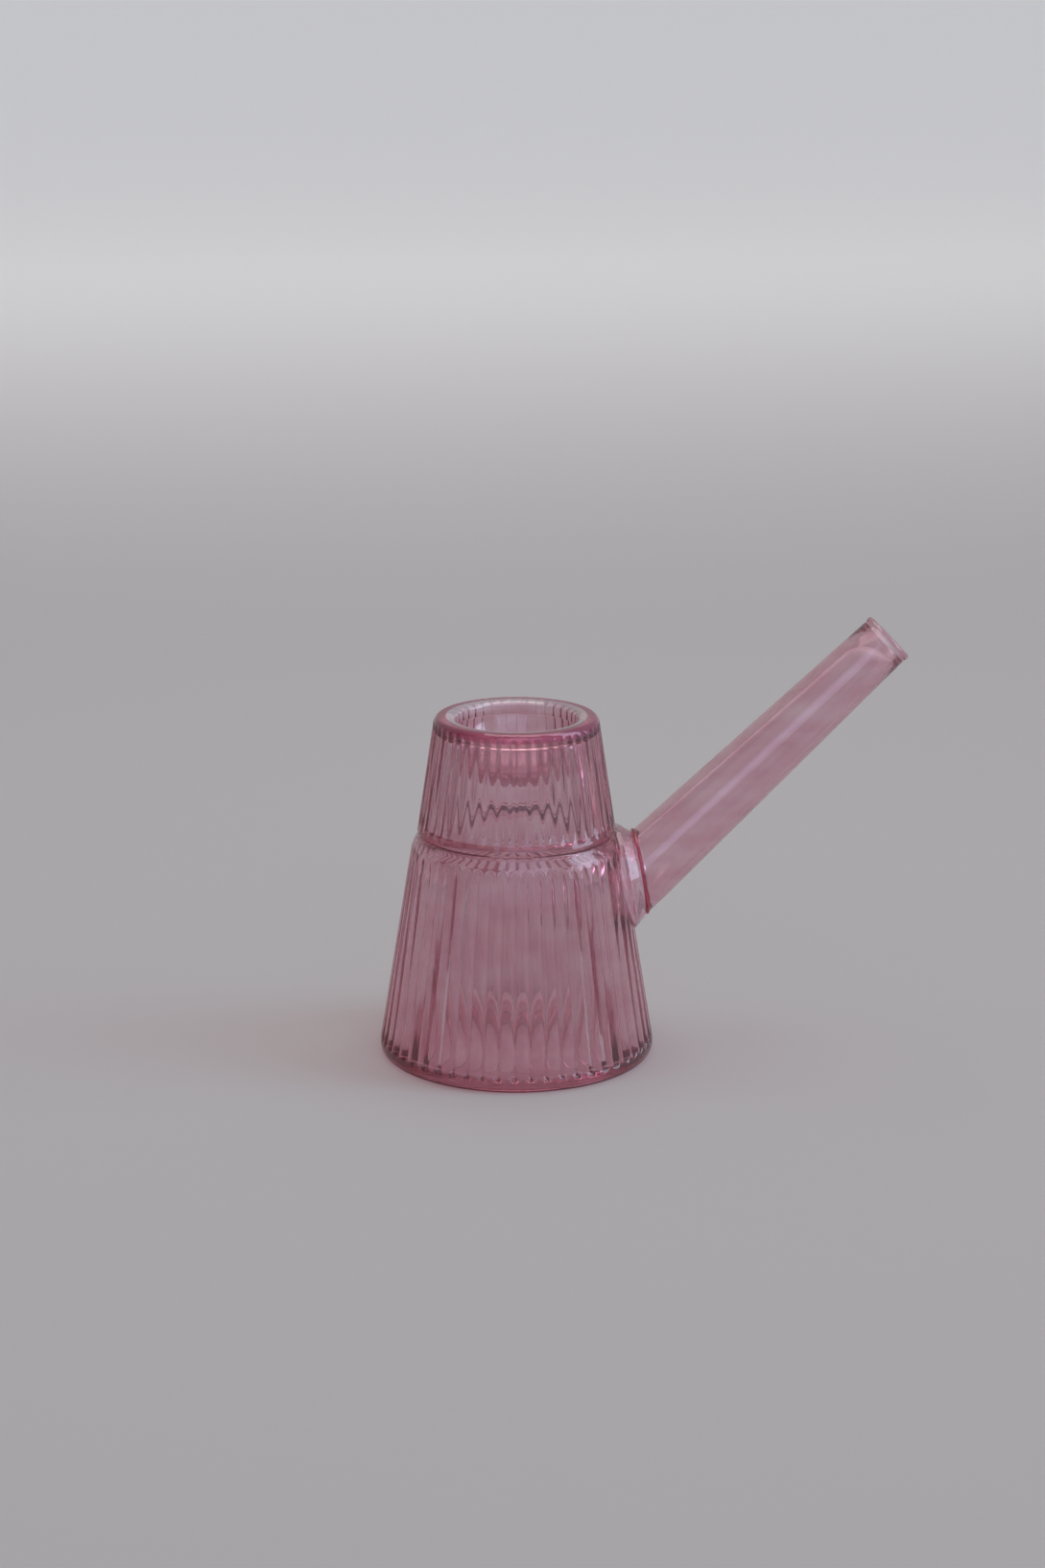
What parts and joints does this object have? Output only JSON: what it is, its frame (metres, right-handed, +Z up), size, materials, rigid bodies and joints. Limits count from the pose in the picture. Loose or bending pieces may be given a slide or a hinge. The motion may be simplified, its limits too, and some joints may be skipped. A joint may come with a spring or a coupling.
{
  "type": "fluted glass vase",
  "caption": "Round fluted glass vase with a straight slanted side tube and a fluted glass bowl cup that lifts off its mouth.",
  "frame": {"origin": "centre of the flat foot that the vase stands on", "axes": "+Z up along the vessel's axis, +X towards the tip of the slanted side tube, +Y across it"},
  "size_m": [0.1725, 0.0898, 0.1426],
  "materials": {
    "vessel_glass": "pressed soda-lime glass, pink all through, fire polished",
    "seam_glass": "melted glass joint, smooth and darker",
    "tube_glass": "drawn glass tube, pink all through, fire-polished rim",
    "cup_glass": "pressed glass, pink all through, polished"
  },
  "bodies": {
    "vessel": {"lower_vessel": "vessel_glass", "tube_pad": "vessel_glass", "seam_ring": "seam_glass", "side_tube": "tube_glass"},
    "cup": {"bowl_cup": "cup_glass"}
  },
  "joints": [
    {"name": "cup_lift", "type": "slide", "parent": "vessel", "child": "cup", "axis": [0, 0, 1], "range_m": [0, 0.03]}
  ]
}
